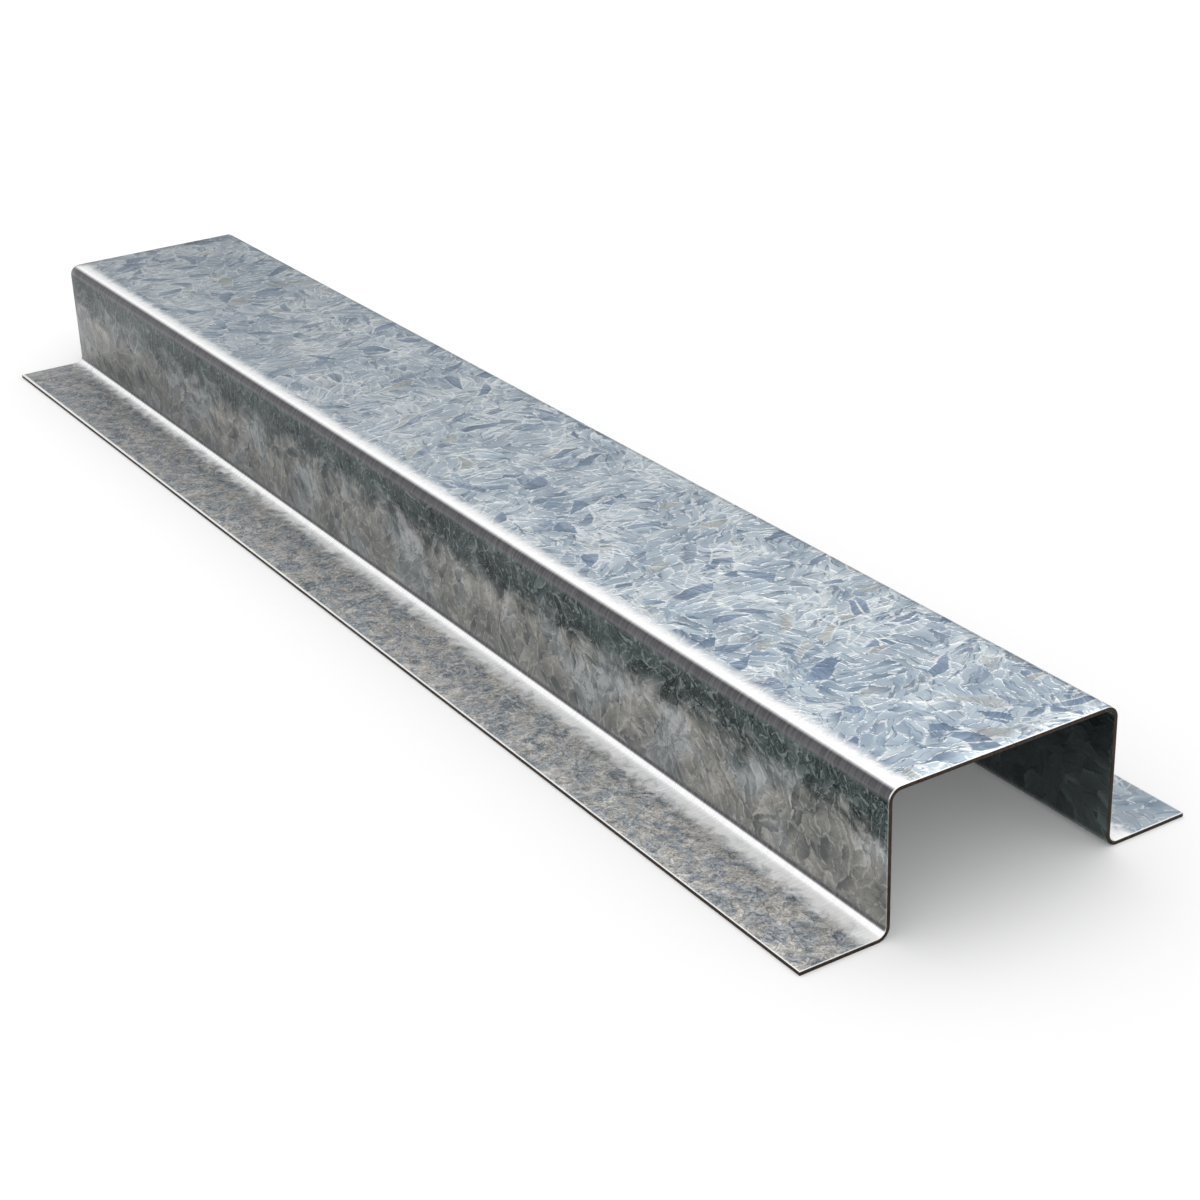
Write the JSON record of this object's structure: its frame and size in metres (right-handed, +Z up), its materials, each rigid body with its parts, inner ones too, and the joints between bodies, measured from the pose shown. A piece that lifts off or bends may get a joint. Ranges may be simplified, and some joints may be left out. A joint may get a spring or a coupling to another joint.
{
  "type": "top hat batten",
  "caption": "Straight length of galvanised sheet steel folded along its length into a hat section: a raised flat top, two upright webs and two outward flanges.",
  "frame": {"origin": "middle of the length and of the width, on the plane the two flanges stand on", "axes": "+X along the batten, +Y across it, +Z up from the flanges towards the raised flat top"},
  "size_m": [0.5, 0.12, 0.04],
  "materials": {
    "galvanised_steel": "hot-dip galvanised with a visible feathery zinc spangle, bends burnished bright, sheared edges bare and dark"
  },
  "bodies": {
    "root": {"top_hat_batten": "galvanised_steel"}
  },
  "joints": []
}
